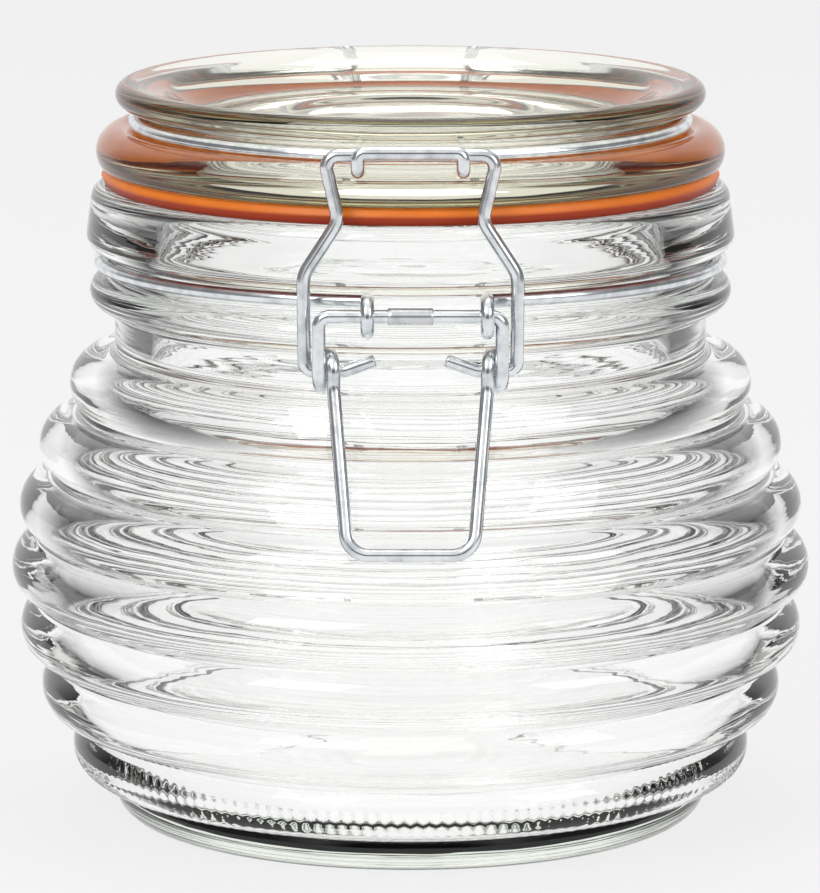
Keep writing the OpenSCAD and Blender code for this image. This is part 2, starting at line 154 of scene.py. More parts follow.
@dataclass(frozen=True)
class NaturalRubber:
    """Punched ring of natural rubber: soft sheen, fine grain, a little uneven in colour, with a painted lit tone on
    its upper half and painted shade on its lower half.
    """

    name: str
    # painted light: the first orange is the painted lit tone of the upper half and the second is painted shade for the
    # lower half; the split height and its fade set where the shade begins
    lit_orange: str
    shaded_orange: str
    shade_line_mm: float
    shade_fade_mm: float = 0.35
    grain_mm: float = 0.35
    cloud_mm: float = 9.0

    def build(self) -> bpy.types.Material:
        """Make the material: a painted lit orange above the ridge and a painted-shade orange below it, varied in soft
        clouds under a fine grain.
        """
        material = bpy.data.materials.new(self.name)
        material.use_nodes = True
        tree = material.node_tree
        tree.nodes.clear()
        place = add_node(tree, "ShaderNodeTexCoord")
        clouds = add_node(tree, "ShaderNodeTexNoise", {
            "Vector": place.outputs["Object"], "Scale": 1 / (self.cloud_mm * MM), "Detail": 3.0})
        split = add_node(tree, "ShaderNodeSeparateXYZ", {0: place.outputs["Object"]})
        # painted shade: below the split height the colour goes to the shaded orange, and above it to the lit orange;
        # the clouds only vary the tone a little
        height = add_node(tree, "ShaderNodeMapRange", {
            "Value": split.outputs["Z"], "From Min": (self.shade_line_mm - self.shade_fade_mm) * MM,
            "From Max": (self.shade_line_mm + self.shade_fade_mm) * MM})
        lit_share = add_node(tree, "ShaderNodeMath", {
            0: height.outputs[0], 1: self._cloud(tree, clouds.outputs["Fac"])}, operation="MULTIPLY")
        colour = self._shade_to_lit(tree, lit_share.outputs[0])
        grain = add_node(tree, "ShaderNodeTexNoise", {
            "Vector": place.outputs["Object"], "Scale": 1 / (self.grain_mm * MM), "Detail": 2.0})
        bump = add_node(tree, "ShaderNodeBump", {
            "Height": grain.outputs["Fac"], "Strength": 0.25, "Distance": 0.05 * MM})
        surface = add_node(tree, "ShaderNodeBsdfPrincipled", {
            "Base Color": colour, "Roughness": 0.42, "IOR": 1.5, "Normal": bump.outputs[0],
            "Subsurface Weight": 0.15, "Subsurface Radius": (0.003, 0.001, 0.0004)})
        add_node(tree, "ShaderNodeOutputMaterial", {"Surface": surface.outputs[0]})
        return material

    def _cloud(self, tree: bpy.types.NodeTree, factor: bpy.types.NodeSocket) -> bpy.types.NodeSocket:
        """Turn cloudy noise to a share of the lit orange, a tone that differs at random."""
        share = add_node(tree, "ShaderNodeMapRange", {
            "Value": factor, "From Min": 0.3, "From Max": 0.7, "To Min": 0.72, "To Max": 1.0})
        return share.outputs[0]

    def _shade_to_lit(self, tree: bpy.types.NodeTree, factor: bpy.types.NodeSocket) -> bpy.types.NodeSocket:
        """Blend from the painted-shade orange to the lit orange by a factor."""
        ramp = add_node(tree, "ShaderNodeValToRGB", {"Fac": factor})
        ramp.color_ramp.elements[0].color = linear(self.shaded_orange)
        ramp.color_ramp.elements[1].color = linear(self.lit_orange)
        return ramp.outputs["Color"]


@dataclass(frozen=True)
class PlatedWire:
    """Drawn steel wire with a bright plating: near-mirror, with fine lines from the die."""

    name: str
    bright: str
    dull: str
    roughness: float = 0.14

    def build(self) -> bpy.types.Material:
        """Make the material: a bright metal whose gloss and tone vary a little along the wire."""
        material = bpy.data.materials.new(self.name)
        material.use_nodes = True
        tree = material.node_tree
        tree.nodes.clear()
        place = add_node(tree, "ShaderNodeTexCoord")
        patches = add_node(tree, "ShaderNodeTexNoise", {
            "Vector": place.outputs["Object"], "Scale": 1 / (2.5 * MM), "Detail": 4.0})
        tone = add_node(tree, "ShaderNodeValToRGB", {"Fac": patches.outputs["Fac"]})
        tone.color_ramp.elements[0].color = linear(self.dull)
        tone.color_ramp.elements[1].color = linear(self.bright)
        tone.color_ramp.elements[0].position = 0.25
        tone.color_ramp.elements[1].position = 0.6
        gloss = add_node(tree, "ShaderNodeMapRange", {
            "Value": patches.outputs["Fac"], "To Min": self.roughness + 0.08, "To Max": self.roughness})
        lines = add_node(tree, "ShaderNodeTexNoise", {
            "Vector": place.outputs["Object"], "Scale": 1 / (0.25 * MM), "Detail": 2.0})
        bump = add_node(tree, "ShaderNodeBump", {
            "Height": lines.outputs["Fac"], "Strength": 0.12, "Distance": 0.02 * MM})
        surface = add_node(tree, "ShaderNodeBsdfPrincipled", {
            "Base Color": tone.outputs["Color"], "Metallic": 1.0, "Roughness": gloss.outputs[0],
            "Normal": bump.outputs[0]})
        add_node(tree, "ShaderNodeOutputMaterial", {"Surface": surface.outputs[0]})
        return material


Profile = list[tuple[float, float]]


def arc(centre_r: float, centre_z: float, radius: float, start: float, stop: float, steps: int = 10) -> Profile:
    """Points of an arc in the half-section, from one angle to another in degrees."""
    angles = [math.radians(start + (stop - start) * i / steps) for i in range(steps + 1)]
    return [(centre_r + radius * math.cos(a), centre_z + radius * math.sin(a)) for a in angles]


def resample(profile: Profile, step: float) -> Profile:
    """Space a half-section's points evenly.

    Args:
        profile: the points, in order.
        step: the longest spacing, in mm.

    Returns:
        Points at an even spacing along the same line.
    """
    out = [profile[0]]
    for (r0, z0), (r1, z1) in zip(profile, profile[1:]):
        count = max(1, math.ceil(math.hypot(r1 - r0, z1 - z0) / step))
        out += [(r0 + (r1 - r0) * i / count, z0 + (z1 - z0) * i / count) for i in range(1, count + 1)]
    return out


def soften(profile: Profile, rounds: int) -> Profile:
    """Round a half-section's corners by averaging each point with its neighbours, ends kept."""
    points = list(profile)
    for _ in range(rounds):
        middle = [
            ((a[0] + 2 * b[0] + c[0]) / 4, (a[1] + 2 * b[1] + c[1]) / 4)
            for a, b, c in zip(points, points[1:], points[2:])]
        points = [points[0], *middle, points[-1]]
    return points


def spun(name: str, profile: Profile, steps: int, closed: bool = False) -> bpy.types.Object:
    """Spin a half-section round the Z axis into a closed mesh.

    Args:
        name: the piece's name.
        profile: (radius, height) pairs in mm; open ones start and end on the axis.
        steps: how many facets go round.
        closed: joins the last point to the first, for a ring.

    Returns:
        The new object, with smooth faces that point outwards.
    """
    mesh = bmesh.new()
    verts = [mesh.verts.new((max(r, 0.0) * MM, 0.0, z * MM)) for r, z in profile]
    pairs = list(zip(verts, verts[1:])) + ([(verts[-1], verts[0])] if closed else [])
    edges = [mesh.edges.new(pair) for pair in pairs]
    bmesh.ops.spin(mesh, geom=verts + edges, cent=(0, 0, 0), axis=(0, 0, 1), angle=math.tau,
                   steps=steps, use_merge=True, use_duplicate=False)
    bmesh.ops.remove_doubles(mesh, verts=mesh.verts, dist=2e-6)
    bmesh.ops.recalc_face_normals(mesh, faces=mesh.faces)
    return finished(name, mesh)


def finished(name: str, mesh: bmesh.types.BMesh) -> bpy.types.Object:
    """Turn a bmesh into a smooth object in the scene."""
    for face in mesh.faces:
        face.smooth = True
    data = bpy.data.meshes.new(name)
    mesh.to_mesh(data)
    mesh.free()
    piece = bpy.data.objects.new(name, data)
    bpy.context.scene.collection.objects.link(piece)
    return piece


def rounded(points: list[Vector], rounds: list[float]) -> list[Vector]:
    """Centreline along points, with each inner corner rounded.

    Args:
        points: the corners, in mm.
        rounds: the radius at each inner corner.

    Returns:
        The line's points, close together in the bends.
    """
    line = [points[0]]
    for before, corner, after, radius in zip(points, points[1:], points[2:], rounds):
        u, v = (before - corner).normalized(), (after - corner).normalized()
        opening = u.angle(v)
        turn = math.pi - opening
        reach = radius / math.tan(opening / 2)
        centre = corner + (u + v).normalized() * radius / math.sin(opening / 2)
        start = corner + u * reach - centre
        axis = start.cross(-u).normalized()
        steps = max(2, math.ceil(math.degrees(turn) / 9))
        line += [centre + Matrix.Rotation(turn * i / steps, 3, axis) @ start for i in range(steps + 1)]
    return line + [points[-1]]


def turn_about_x(centre: Vector, radius: float, start: float, turn: float, across: float = 0.0) -> list[Vector]:
    """Arc round a bar along X, from an angle above +Y, moving sideways as it turns."""
    steps = max(4, math.ceil(abs(turn) / 9))
    line = []
    for i in range(steps + 1):
        share = i / steps
        angle = math.radians(start + turn * share)
        shift = across * (1 - math.cos(math.radians(turn * share))) / (1 - math.cos(math.radians(turn))) \
            if across else 0.0
        line.append(centre + Vector((shift, radius * math.cos(angle), radius * math.sin(angle))))
    return line


def level_arc(radius: float, z: float, start: float, stop: float) -> list[Vector]:
    """Arc of a level ring between two angles from +X."""
    steps = max(2, math.ceil(abs(stop - start) / 2))
    angles = [math.radians(start + (stop - start) * i / steps) for i in range(steps + 1)]
    return [Vector((radius * math.cos(a), radius * math.sin(a), z)) for a in angles]


def mirrored(points: list[Vector]) -> list[Vector]:
    """The points' mirror image across the middle, in the opposite order."""
    return [Vector((-p.x, p.y, p.z)) for p in reversed(points)]


def wire(name: str, line: list[Vector], radius: float, sides: int = 20) -> bpy.types.Object:
    """Sweep a round wire along a centreline.

    Args:
        name: the piece's name.
        line: the centreline, in mm.
        radius: the wire's radius, in mm.
        sides: how many facets go round the wire.

    Returns:
        The new object, with its ends closed and a little rounded.
    """
    points = [line[0]]
    for point in line[1:]:
        if (point - points[-1]).length > 0.02:
            points.append(point)
    mesh = bmesh.new()
    ways = [(b - a).normalized() for a, b in zip(points, points[1:])]
    headings = [ways[0]] + [(a + b).normalized() for a, b in zip(ways, ways[1:])] + [ways[-1]]
    turned = Vector((0, 0, 1)).rotation_difference(headings[0])
    first = Matrix.Translation(points[0] * MM) @ turned.to_matrix().to_4x4()
    made = bmesh.ops.create_circle(mesh, cap_ends=True, radius=radius * MM, segments=sides, matrix=first)
    loop = [e for e in mesh.edges]
    for i in range(1, len(points)):
        out = bmesh.ops.extrude_edge_only(mesh, edges=loop)["geom"]
        ring = [v for v in out if isinstance(v, bmesh.types.BMVert)]
        loop = [e for e in out if isinstance(e, bmesh.types.BMEdge)
                and all(v in ring for v in e.verts)]
        swing = headings[i - 1].rotation_difference(headings[i]).to_matrix().to_4x4()
        move = Matrix.Translation(points[i] * MM) @ swing @ Matrix.Translation(-points[i - 1] * MM)
        bmesh.ops.transform(mesh, matrix=move, verts=ring)
    bmesh.ops.contextual_create(mesh, geom=loop)
    caps = [e for f in mesh.faces if len(f.verts) == sides for e in f.edges]
    bmesh.ops.bevel(mesh, geom=caps, offset=0.25 * radius * MM, offset_type="OFFSET", segments=3,
                    profile=0.5, affect="EDGES", material=-1)
    bmesh.ops.recalc_face_normals(mesh, faces=mesh.faces)
    return finished(name, mesh)


def dress(piece: bpy.types.Object, material: bpy.types.Material, body: Body, slot: str, *nodes: str) -> None:
    """Give a piece its material and body, and hide the frame nodes it stands for."""
    piece.data.materials.clear()
    piece.data.materials.append(material)
    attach(piece, body.value)
    if nodes:
        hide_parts(*nodes)
    LOG.info("%s: %d faces, rides on %s", piece.name, len(piece.data.polygons), body.value)


@dataclass
class GlassJar:
    """The ribbed jar: foot, seven ribs, neck, small bead, wire channel and mouth."""

    belly_r: float = 61.8
    rib_count: int = 7
    rib_pitch: float = 9.45
    rib_low_z: float = 10.2
    rib_drop: float = 9.2
    groove_depth: float = 3.4
    wall: float = 3.0
    base_t: float = 6.0
    foot_r: float = 46.1
    foot_round: float = 3.75
    neck_r: float = 45.6
    bore_r: float = 40.0
    bead_r: float = 49.4
    bead_round: float = 2.4
    channel_r: float = 46.6
    mouth_r: float = 49.85
    mouth_taper: float = 0.75
    facets: int = 320
    tick_height: float = 0.32
    glass: PressedGlass = field(default_factory=lambda: PressedGlass(
        "soda_lime_glass_clear", "#FEFEFE", "#BFD2B4", 4.5))

    def rib_z(self, i: int) -> float:
        """Height of a rib's crown."""
        return self.rib_low_z + i * self.rib_pitch

    def rib_r(self, i: int) -> float:
        """Radius over a rib."""
        middle = (self.rib_count - 1) / 2
        return self.belly_r - self.rib_drop * (abs(i - middle) / middle) ** 1.8

    def outer_r(self, z: float, top: float) -> float:
        """Radius of the outside at a height, before its corners are softened."""
        rib_round = self.rib_pitch / 2 + 0.08
        last = self.rib_count - 1
        shoulder = self.rib_z(last) + rib_round
        bead_z, mouth_z = shoulder + 9.7, top - 9.8
        found = [0.0]

        def circle(cr: float, cz: float, r: float) -> None:
            if abs(z - cz) <= r:
                found.append(cr + math.sqrt(r * r - (z - cz) ** 2))

        circle(self.foot_r - self.foot_round, self.foot_round - 0.45, self.foot_round)
        for i in range(self.rib_count):
            circle(self.rib_r(i) - rib_round, self.rib_z(i), rib_round)
        circle(self.bead_r - self.bead_round, bead_z, self.bead_round)
        circle(self.mouth_r - 2.2, mouth_z + 2.2, 2.2)
        circle(self.mouth_r - self.mouth_taper - 2.0, top - 2.0, 2.0)
        core = [(0.0, self.foot_r - self.foot_round), (self.rib_low_z - rib_round, self.foot_r - 1)]
        core += [(self.rib_z(i), self.rib_r(i) - self.groove_depth) for i in range(self.rib_count)]
        core += [(shoulder - 1, self.neck_r), (bead_z, self.neck_r), (bead_z + 0.01, self.channel_r),
                 (mouth_z, self.channel_r)]
        for (z0, r0), (z1, r1) in zip(core, core[1:]):
            if z0 <= z <= z1:
                found.append(r0 + (r1 - r0) * (z - z0) / (z1 - z0))
        if mouth_z + 2.2 <= z <= top - 2.0:
            found.append(self.mouth_r - self.mouth_taper * (z - mouth_z - 2.2) / (top - mouth_z - 4.2))
        return max(found)

    def half_section(self, top: float) -> tuple[Profile, int]:
        """Half-section of the whole jar, and how many of its points are outside."""
        count = 1200
        heights = [top * i / count for i in range(count + 1)]
        outside = soften(resample([(self.outer_r(z, top), z) for z in heights], 0.2), 5)
        outside = self.thinned(outside, 0.72)
        under = resample([(0, 1.6), (30, 1.3), (39.5, 0.5), (outside[0][0] - 0.8, 0.0)], 3.0)
        inner_r = [self.rib_r(i) - self.groove_depth - self.wall for i in range(self.rib_count)]
        last = self.rib_count - 1
        inside = [(outside[-1][0] - 0.6, top), (self.bore_r + 1.6, top), (self.bore_r + 0.4, top - 0.5),
                  (self.bore_r, top - 1.6), (self.bore_r, self.rib_z(last) + 5.6)]
        for i in range(last, -1, -1):
            if i < last:
                inside.append((inner_r[i] + 0.2 + (inner_r[i + 1] - inner_r[i]) * 0.5, self.rib_z(i) + self.rib_pitch / 2))
                inside.append((inner_r[i] + 1.2, self.rib_z(i)))
            else:
                inside.append((inner_r[i], self.rib_z(i)))
        inside += [(inner_r[0] - 0.6, self.rib_low_z - 2.2), (inner_r[0] - 4.5, self.base_t + 0.1),
                   (inner_r[0] - 11, self.base_t - 0.4), (0, self.base_t + 0.8)]
        mouth = soften(resample(inside[:5], 0.8), 1)
        cavity = soften(resample(inside[4:], 1.8), 3)
        return under + outside + mouth + cavity[1:], len(under) + len(outside)

    @staticmethod
    def thinned(profile: Profile, step: float) -> Profile:
        """Keep points about a step apart along a finely drawn line."""
        kept = [profile[0]]
        for point in profile[1:-1]:
            if math.hypot(point[0] - kept[-1][0], point[1] - kept[-1][1]) >= step:
                kept.append(point)
        return kept + [profile[-1]]

    def build(self) -> None:
        """Spin the jar, press its row of ticks, roughen its inside a little and dress it."""
        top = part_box("jar")[1].z / MM
        profile, _ = self.half_section(top)
        piece = spun("glass_jar", profile, self.facets)
        self.press_ticks(piece)
        self.ripple_inside(piece)
        dress(piece, self.glass.build(), Body.JAR, "jar_glass", "jar")

    def press_ticks(self, piece: bpy.types.Object) -> None:
        """Push every other column of the lowest rib's underside in, which leaves a row of upright ticks."""
        for vert in piece.data.vertices:
            x, y, z = (c / MM for c in vert.co)
            reach = math.hypot(x, y)
            if 5.4 < z < 9.4 and reach > self.foot_r - 1:
                column = round(math.atan2(y, x) / math.tau * self.facets)
                if column % 2:
                    scale = 1 - self.tick_height / reach
                    vert.co.x *= scale
                    vert.co.y *= scale

    def ripple_inside(self, piece: bpy.types.Object) -> None:
        """Give the inner wall the gentle waves of blown glass."""
        for vert in piece.data.vertices:
            x, y, z = (c / MM for c in vert.co)
            reach = math.hypot(x, y)
            last = self.rib_z(self.rib_count - 1)
            if reach > 8 and self.base_t - 1 < z < last + 2 and reach < self.outer_r(z, 97.7) - 2.4:
                wave = noise.noise(Vector((x, y, z * 1.6)) / 17.0) * 0.22
                vert.co.x *= 1 + wave / reach
                vert.co.y *= 1 + wave / reach


@dataclass
class GlassLid:
    """The lid: plug, flange, channel for its wire, rim bead and dish."""

    flange_r: float = 48.3
    flange_round: float = 3.8
    rim_r: float = 45.3
    rim_round: float = 1.87
    channel_r: float = 41.2
    channel_w: float = 2.5
    dish_r: float = 33.0
    dish_depth: float = 4.9
    pad_r: float = 18.6
    pad_depth: float = 0.8
    plug_r: float = 38.2
    plug_wall: float = 5.0
    crown_t: float = 5.6
    facets: int = 256
    glass: PressedGlass = field(default_factory=lambda: PressedGlass(
        "soda_lime_glass_lid", "#FDFDF8", "#BDB885", 26.0, wave_strength=0.05))

    def half_section(self, low: float, seat: float, high: float) -> Profile:
        """Half-section of the lid, from the top of the axis round to the underside."""
        rim_z = high - self.rim_round
        mid_z = seat + 6.1 - self.flange_round
        floor_z = seat + 6.1 + 0.7 - 1.1
        dish_z = high - self.dish_depth
        pad_z = dish_z - self.pad_depth
        rim = self.rim_r - self.rim_round
        flange = self.flange_r - self.flange_round
        cut = math.degrees(math.asin((seat - mid_z) / self.flange_round))
        top = [(0, pad_z), (self.pad_r - 0.9, pad_z), (self.pad_r + 0.6, dish_z), (self.dish_r - 1, dish_z),
               (self.dish_r + 2, dish_z + 1.6), (37.6, high - 1.1), (rim - 1.6, high - 0.3)]
        top = soften(resample(top, 0.7), 3)
        edge = arc(rim, rim_z, self.rim_round, 100, -70, 14)
        edge += [(self.channel_r + 0.5, rim_z - 3.0), (self.channel_r, floor_z + 0.8), (self.channel_r + 0.4, floor_z)]
        edge += [(self.channel_r + self.channel_w - 0.3, floor_z), (self.channel_r + self.channel_w, floor_z + 0.2)]
        edge += arc(flange, mid_z, self.flange_round, 94, cut, 22)
        under = [(flange - 0.5, seat), (self.plug_r + 0.6, seat), (self.plug_r, seat - 0.6), (self.plug_r, low + 1.2),
                 (self.plug_r - 1.2, low), (self.plug_r - self.plug_wall + 1.2, low),
                 (self.plug_r - self.plug_wall, low + 1.2), (self.plug_r - self.plug_wall - 0.6, pad_z - self.crown_t - 1.6),
                 (self.plug_r - self.plug_wall - 3, pad_z - self.crown_t), (0, pad_z - self.crown_t)]
        return top + soften(resample(edge, 0.6), 1) + soften(resample(under, 0.8), 2)

    def build(self) -> None:
        """Spin the lid and dress it."""
        low, high = (corner.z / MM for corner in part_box("lid"))
        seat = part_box("gasket")[1].z / MM
        piece = spun("glass_lid", self.half_section(low, seat, high), self.facets)
        dress(piece, self.glass.build(), Body.LID, "lid_glass", "lid")


@dataclass
class RubberRing:
    """The orange ring, with a ridge round its edge."""

    bore_r: float = 38.18
    ridge: float = 0.5
    squeeze: float = 0.03
    facets: int = 192

    def build(self) -> None:
        """Spin the ring and dress it."""
        low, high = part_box("gasket")
        reach = high.x / MM
        # pressed a hair into the glass of the lid, so that the lid shows it as wet contact does
        z0, z1 = low.z / MM, high.z / MM + self.squeeze
        middle = (z0 + z1) / 2
        section = [(self.bore_r, z0 + 0.2), (self.bore_r + 0.2, z0), (reach - self.ridge - 0.25, z0),
                   (reach - self.ridge, z0 + 0.2), (reach - 0.08, middle - 0.12), (reach, middle),
                   (reach - 0.08, middle + 0.12), (reach - self.ridge, z1 - 0.2),
                   (reach - self.ridge - 0.25, z1), (self.bore_r + 0.2, z1), (self.bore_r, z1 - 0.2)]
        piece = spun("rubber_ring", resample(section, 0.8), self.facets, closed=True)
        # the two oranges are a painted lit tone and a painted shade, split at the ridge's height
        rubber = NaturalRubber("natural_rubber_orange", "#FF8A1C", "#B43A14", middle)
        dress(piece, rubber.build(), Body.LID, "rubber_ring", "gasket")


@dataclass
class WireWork:
    """The four bent wires and the sleeve, on the places that the frame's joints give."""

    radius: float = 1.0
    lid_ring_r: float = 42.3
    neck_ring_r: float = 47.7
    neck_tilt: float = 1.05
    hinge_half: float = 13.0
    curl_x: float = 9.8
    eye_round: float = 2.35
    eye_left_x: float = -6.3
    eye_right_x: float = 11.2
    hook_y: float = 49.0
    hook_half: float = 7.7
    arm_half: float = 13.4
    step: float = 2.15
    coil_round: float = 2.5
    handle_drop: float = 25.3
    handle_out: float = 8.7
    handle_foot_half: float = 9.2
    handle_corner: float = 3.4
    plating: PlatedWire = field(default_factory=lambda: PlatedWire(
        "plated_steel_wire", "#EEF1F4", "#C4C9CE", 0.16))
    sleeve: PlatedWire = field(default_factory=lambda: PlatedWire(
        "plated_steel_sleeve", "#D8DADC", "#B9BCC0", 0.24))

    def __post_init__(self) -> None:
        """Read the clamp's centres from the frame."""
        spots = {j["name"]: Vector(j["pos_m"]) / MM for j in frame["joints"]}
        self.pivot, self.pin, self.hinge = (spots[n] for n in ("lever_hinge", "bail_hinge", "lid_hinge"))
        self.flange_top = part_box("gasket")[1].z / MM + 6.1
        self.crossbar = Vector((0, -self.hook_y, self.flange_top + 1.9))
        self.mouth_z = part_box("jar")[1].z / MM - 9.8

    @staticmethod
    def ring_point(ring_r: float, x: float, side: int, z: float) -> Vector:
        """Point on a level ring, in front (-1) or behind (1)."""
        return Vector((x, side * math.sqrt(ring_r**2 - x**2), z))

    @staticmethod
    def run_on(ring_r: float, x: float, to_x: float, side: int, z: float) -> Vector:
        """Where the wire gets to if it runs straight on from a point of a ring."""
        y = math.sqrt(ring_r**2 - x**2)
        return Vector((to_x, side * (y - x * (to_x - x) / y), z))

    def lid_wire(self) -> list[Vector]:
        """Centreline from the left curl over the hook to the right curl."""
        ring, bar_y = self.lid_ring_r, self.crossbar.y - 2.15
        z, over, dip = self.flange_top + 0.7, self.flange_top + 1.12, self.crossbar.z - 2.5
        front, back, half, curl = self.hook_half + 3.6, self.curl_x + 3.6, self.hook_half, self.curl_x
        loop = 2 * self.radius + 0.1
        leg_y = self.hinge.y - loop
        hook = rounded([Vector(p) for p in (
            (0, bar_y, self.crossbar.z + 0.6), (half, bar_y, self.crossbar.z + 0.6), (half, bar_y, dip + 0.5),
            (half, -self.hook_y + 0.3, dip), (half, -self.hook_y + 2.4, over))]
            + [self.run_on(ring, front, half, -1, over), self.run_on(ring, front, front - 1.1, -1, z),
               self.ring_point(ring, front, -1, z)], [1.1, 1.1, 1.1, 1.2, 1.5, 4])
        ends = [math.degrees(math.atan2(math.sqrt(ring**2 - x**2), x)) for x in (front, back)]
        around = level_arc(ring, z, -ends[0], ends[1])
        rear = rounded([
            self.ring_point(ring, back, 1, z), self.run_on(ring, back, back - 1.1, 1, z),
            self.run_on(ring, back, curl, 1, over), Vector((curl, leg_y - 3, over)),
            Vector((curl, leg_y, self.flange_top - 3.8)), Vector((curl, leg_y, self.hinge.z))], [4, 1.5, 1.6, 2])
        end = turn_about_x(Vector((curl, self.hinge.y, self.hinge.z)), loop, 180, 265)
        half_line = hook + around[1:] + rear[1:] + end[1:]
        return mirrored(half_line)[:-1] + half_line

    def tilted(self, p: Vector) -> Vector:
        """Turn a point of the flat neck wire by its tilt."""
        z0 = self.mouth_z - self.radius - 1.1
        angle = math.radians(-self.neck_tilt)
        turned = Matrix.Rotation(angle, 3, "X") @ (p - Vector((0, 0, z0)))
        return turned + Vector((0, 0, z0))

    def neck_wire(self) -> list[Vector]:
        """Centreline from the left eye round the back to the right eye."""
        ring, z = self.neck_ring_r, self.mouth_z - self.radius - 1.1
        back = self.hinge_half + 2.6
        angle = math.degrees(math.atan2(math.sqrt(ring**2 - back**2), back))
        knee = Vector((self.hinge_half, self.hinge.y - 2.5, self.tilted(Vector((0, ring, z))).z + 0.3))
        top = self.pivot.z + self.eye_round

        def front(x: float) -> list[Vector]:
            side = 1 if x > 0 else -1
            start = x + side * 2.6
            run = rounded([self.tilted(self.ring_point(ring, start, -1, z)),
                           self.tilted(self.run_on(ring, start, x, -1, z)),
                           Vector((x, self.pivot.y + 1.6, top)), Vector((x, self.pivot.y, top))], [1.2, 3])
            return run + turn_about_x(Vector((x, self.pivot.y, self.pivot.z)), self.eye_round, 90, 250)[1:]

        def side_arc(x: float) -> list[Vector]:
            start = math.degrees(math.atan2(-math.sqrt(ring**2 - x**2), abs(x)))
            return [self.tilted(p) for p in level_arc(ring, z, start, angle)]

        rear = rounded([self.tilted(self.ring_point(ring, back, 1, z)),
                        self.tilted(self.run_on(ring, back, self.hinge_half, 1, z)), knee,
                        Vector((self.hinge_half, self.hinge.y, self.hinge.z)),
                        Vector((0, self.hinge.y, self.hinge.z))], [1.6, 1.6, 1.3])
        right = list(reversed(front(self.eye_right_x)))[:-1] + side_arc(self.eye_right_x + 2.6) + rear[1:]
        left = list(reversed(front(self.eye_left_x)))[:-1] + [
            Vector((-p.x, p.y, p.z)) for p in side_arc(self.eye_left_x - 2.6) + rear[1:]]
        return left + list(reversed(right))[1:]

    def bail(self) -> list[Vector]:
        """Centreline from one pin's end over the crossbar to the other's."""
        bar, pin = self.crossbar, self.pin
        lean = (pin.y - bar.y) / (bar.z - pin.z)
        half = rounded([Vector(p) for p in (
            (0, bar.y, bar.z), (12.7, bar.y, bar.z), (10.5, bar.y + lean * 9.6, bar.z - 9.6),
            (15.7, bar.y + lean * 17.6, bar.z - 17.6), (self.arm_half + self.step, pin.y, pin.z),
            (self.arm_half - self.step - self.radius - 0.6, pin.y, pin.z),
            (5.2, pin.y, pin.z + 1.6))], [1.8, 3.4, 4.5, 1.4, 1.6])
        return mirrored(half)[:-1] + half

    def lever(self) -> list[Vector]:
        """Centreline from one end in the sleeve, down the arm, round the coil and along the handle."""
        pin, pivot, arm = self.pin, self.pivot, self.arm_half
        handle = arm - self.step
        front_y = pin.y - self.coil_round
        down = rounded([Vector(p) for p in (
            (0.1, pivot.y, pivot.z), (arm, pivot.y, pivot.z), (arm, front_y, pin.z + 2.5),
            (arm, front_y, pin.z))], [1.6, 3])
        under = turn_about_x(Vector((arm, pin.y, pin.z)), self.coil_round, 180, 180, -self.step / 2)
        over = turn_about_x(Vector((arm - self.step / 2, pin.y, pin.z)), self.coil_round, 0, 180, -self.step / 2)
        grip = rounded([Vector(p) for p in (
            (handle, front_y, pin.z), (handle, front_y, pin.z - 2.2),
            (self.handle_foot_half, front_y - self.handle_out, pin.z - self.handle_drop),
            (0, front_y - self.handle_out, pin.z - self.handle_drop))], [4, self.handle_corner])
        half = down + under[1:] + over[1:] + grip[1:]
        return half + mirrored(half)[1:]

    def sleeve_tube(self) -> bpy.types.Object:
        """Thin tube over the butt of the lever's wire."""
        bore, reach, half = self.radius + 0.03, self.radius + 0.23, 3.3
        section = resample([(bore, -half), (reach - 0.05, -half), (reach, -half + 0.05), (reach, half - 0.05),
                            (reach - 0.05, half), (bore, half)], 0.6)
        piece = spun("lever_sleeve_tube", section, 40, closed=True)
        place = Matrix.Translation(self.pivot * MM) @ Matrix.Rotation(math.pi / 2, 4, "Y")
        piece.data.transform(place)
        return piece

    def build(self) -> None:
        """Sweep each wire and dress it."""
        plating = self.plating.build()
        dress(wire("lid_wire_bent", self.lid_wire(), self.radius), plating, Body.LID, "wire", "lid_wire")
        dress(wire("neck_wire_bent", self.neck_wire(), self.radius), plating, Body.JAR, "wire", "neck_wire")
        dress(wire("bail_bent", self.bail(), self.radius), plating, Body.BAIL, "wire", "bail")
        dress(wire("lever_bent", self.lever(), self.radius), plating, Body.LEVER, "wire", "lever")
        dress(self.sleeve_tube(), self.sleeve.build(), Body.LEVER, "sleeve", "lever_sleeve")


